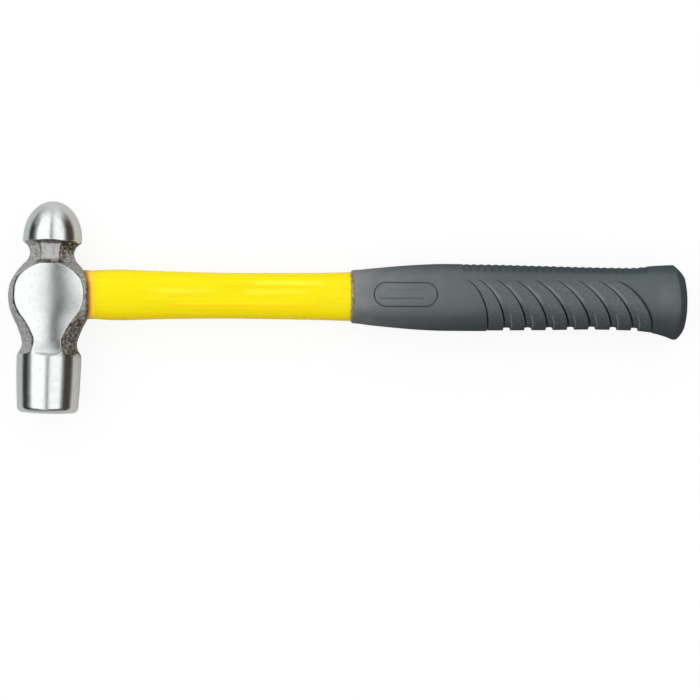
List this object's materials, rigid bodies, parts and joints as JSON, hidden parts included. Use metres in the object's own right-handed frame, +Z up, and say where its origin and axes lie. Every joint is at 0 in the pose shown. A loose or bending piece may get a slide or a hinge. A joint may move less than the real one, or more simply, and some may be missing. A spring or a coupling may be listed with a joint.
{
  "type": "ball peen hammer",
  "caption": "Ball peen hammer: forged steel head with ground cheeks, round striking poll and ball peen, yellow fibreglass-cored handle and grey ribbed rubber grip with a flared butt.",
  "frame": {"origin": "centre of the bottom of the bounding box, with the hammer lying on its side", "axes": "+X along the handle from the head to the butt, +Y towards the ball peen, +Z up"},
  "size_m": [0.3302, 0.1036, 0.0315],
  "materials": {
    "forged_steel": "ground bright on the ball, the cheeks and the poll, rough forged on the other faces",
    "epoxy": "amber cast resin",
    "fibreglass": "pultruded fibreglass rod, hidden",
    "yellow_jacket": "smooth glossy moulding",
    "adhesive": "brown contact adhesive",
    "grip_rubber": "dark blue-grey moulded rubber, satin, stippled between the channels"
  },
  "bodies": {
    "root": {"hammer_head": "forged_steel", "eye_epoxy_bond": "epoxy", "eye_epoxy_bead": "epoxy", "handle_core_rod": "fibreglass", "handle_jacket": "yellow_jacket", "grip_adhesive": "adhesive", "rubber_grip": "grip_rubber"}
  },
  "joints": []
}
